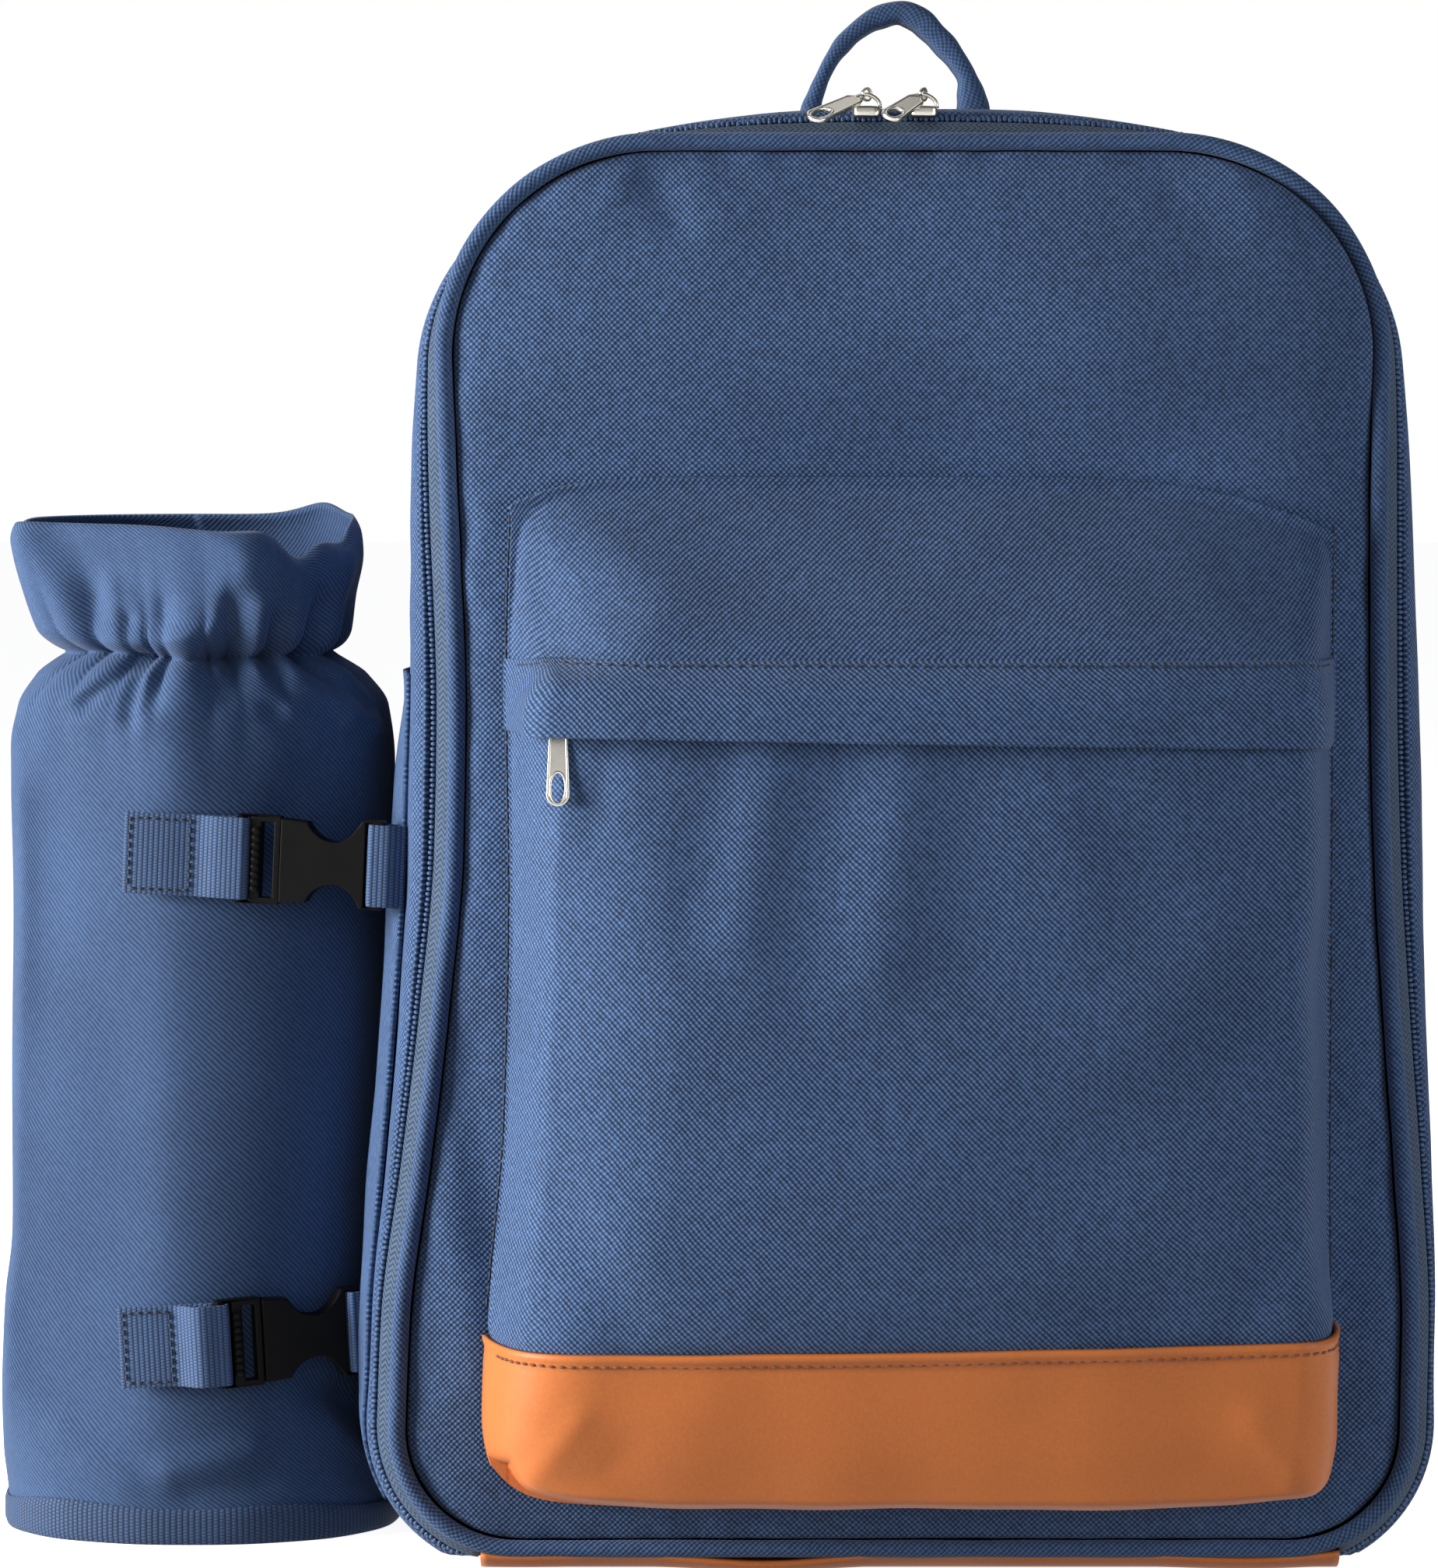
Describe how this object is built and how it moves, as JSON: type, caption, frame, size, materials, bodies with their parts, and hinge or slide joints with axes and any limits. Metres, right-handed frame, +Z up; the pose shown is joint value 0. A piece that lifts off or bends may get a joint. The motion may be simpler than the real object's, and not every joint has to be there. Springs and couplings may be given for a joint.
{
  "type": "picnic backpack",
  "caption": "Upright canvas picnic backpack with a zipped front panel, hooded front pocket with leather trim, carry loop, shoulder straps and a buckled-on gathered bottle carrier",
  "frame": {"origin": "middle of the bag's flat leather base, on the surface it stands on", "axes": "+Z up, -Y towards the front with the pocket, +X to the right seen from the front; the bottle carrier is on the -X side"},
  "size_m": [0.4302, 0.2699, 0.4555],
  "materials": {
    "navy_canvas": "plain-weave polyester canvas, matt",
    "navy_zip": "woven zip tape and nylon coil, matt",
    "navy_webbing": "ribbed webbing, matt",
    "tan_leather": "smooth coated leather, satin",
    "black_plastic": "moulded, satin",
    "nickel_plate": "nickel-plated casting, polished"
  },
  "bodies": {
    "bag": {"front_panel": "navy_canvas", "front_piping": "navy_canvas", "zip_tape": "navy_zip", "zip_chain": "navy_zip", "side_wall": "navy_canvas", "back_panel": "navy_canvas", "base_leather": "tan_leather", "side_pocket": "navy_canvas", "pocket_leather": "tan_leather", "pocket_front": "navy_canvas", "pocket_zip": "navy_zip", "pocket_hood": "navy_canvas", "pocket_flap": "navy_canvas", "main_slider_left": "nickel_plate", "main_slider_right": "nickel_plate", "pocket_slider": "nickel_plate", "bottle_sleeve": "navy_canvas", "bottle_binding": "navy_webbing", "bottle_floor": "navy_canvas", "upper_buckle_frame": "black_plastic", "upper_buckle_body": "black_plastic", "upper_side_webbing": "navy_webbing", "upper_webbing_tab": "navy_webbing", "lower_buckle_frame": "black_plastic", "lower_buckle_body": "black_plastic", "lower_side_webbing": "navy_webbing", "lower_webbing_tab": "navy_webbing", "carry_handle": "navy_canvas", "shoulder_strap_left": "navy_canvas", "strap_webbing_left": "navy_webbing", "strap_anchor_left": "tan_leather", "shoulder_strap_right": "navy_canvas", "strap_webbing_right": "navy_webbing", "strap_anchor_right": "tan_leather"},
    "main_pull_left": {"main_pull_left": "nickel_plate"},
    "main_pull_right": {"main_pull_right": "nickel_plate"},
    "pocket_pull": {"pocket_pull": "nickel_plate"}
  },
  "joints": [
    {"name": "main_pull_left_hinge", "type": "hinge", "parent": "bag", "child": "main_pull_left", "pos_m": [-0.0125, -0.0723, 0.41685], "axis": [-0.7314, 0.682, 0], "range_deg": [0, 150]},
    {"name": "main_pull_right_hinge", "type": "hinge", "parent": "bag", "child": "main_pull_right", "pos_m": [0.0035, -0.0723, 0.41685], "axis": [-0.891, 0.454, 0], "range_deg": [0, 150]},
    {"name": "pocket_pull_hinge", "type": "hinge", "parent": "bag", "child": "pocket_pull", "pos_m": [-0.09741, -0.1334, 0.2434], "axis": [-0.9949, 0.1012, 0], "range_deg": [0, 16]}
  ]
}
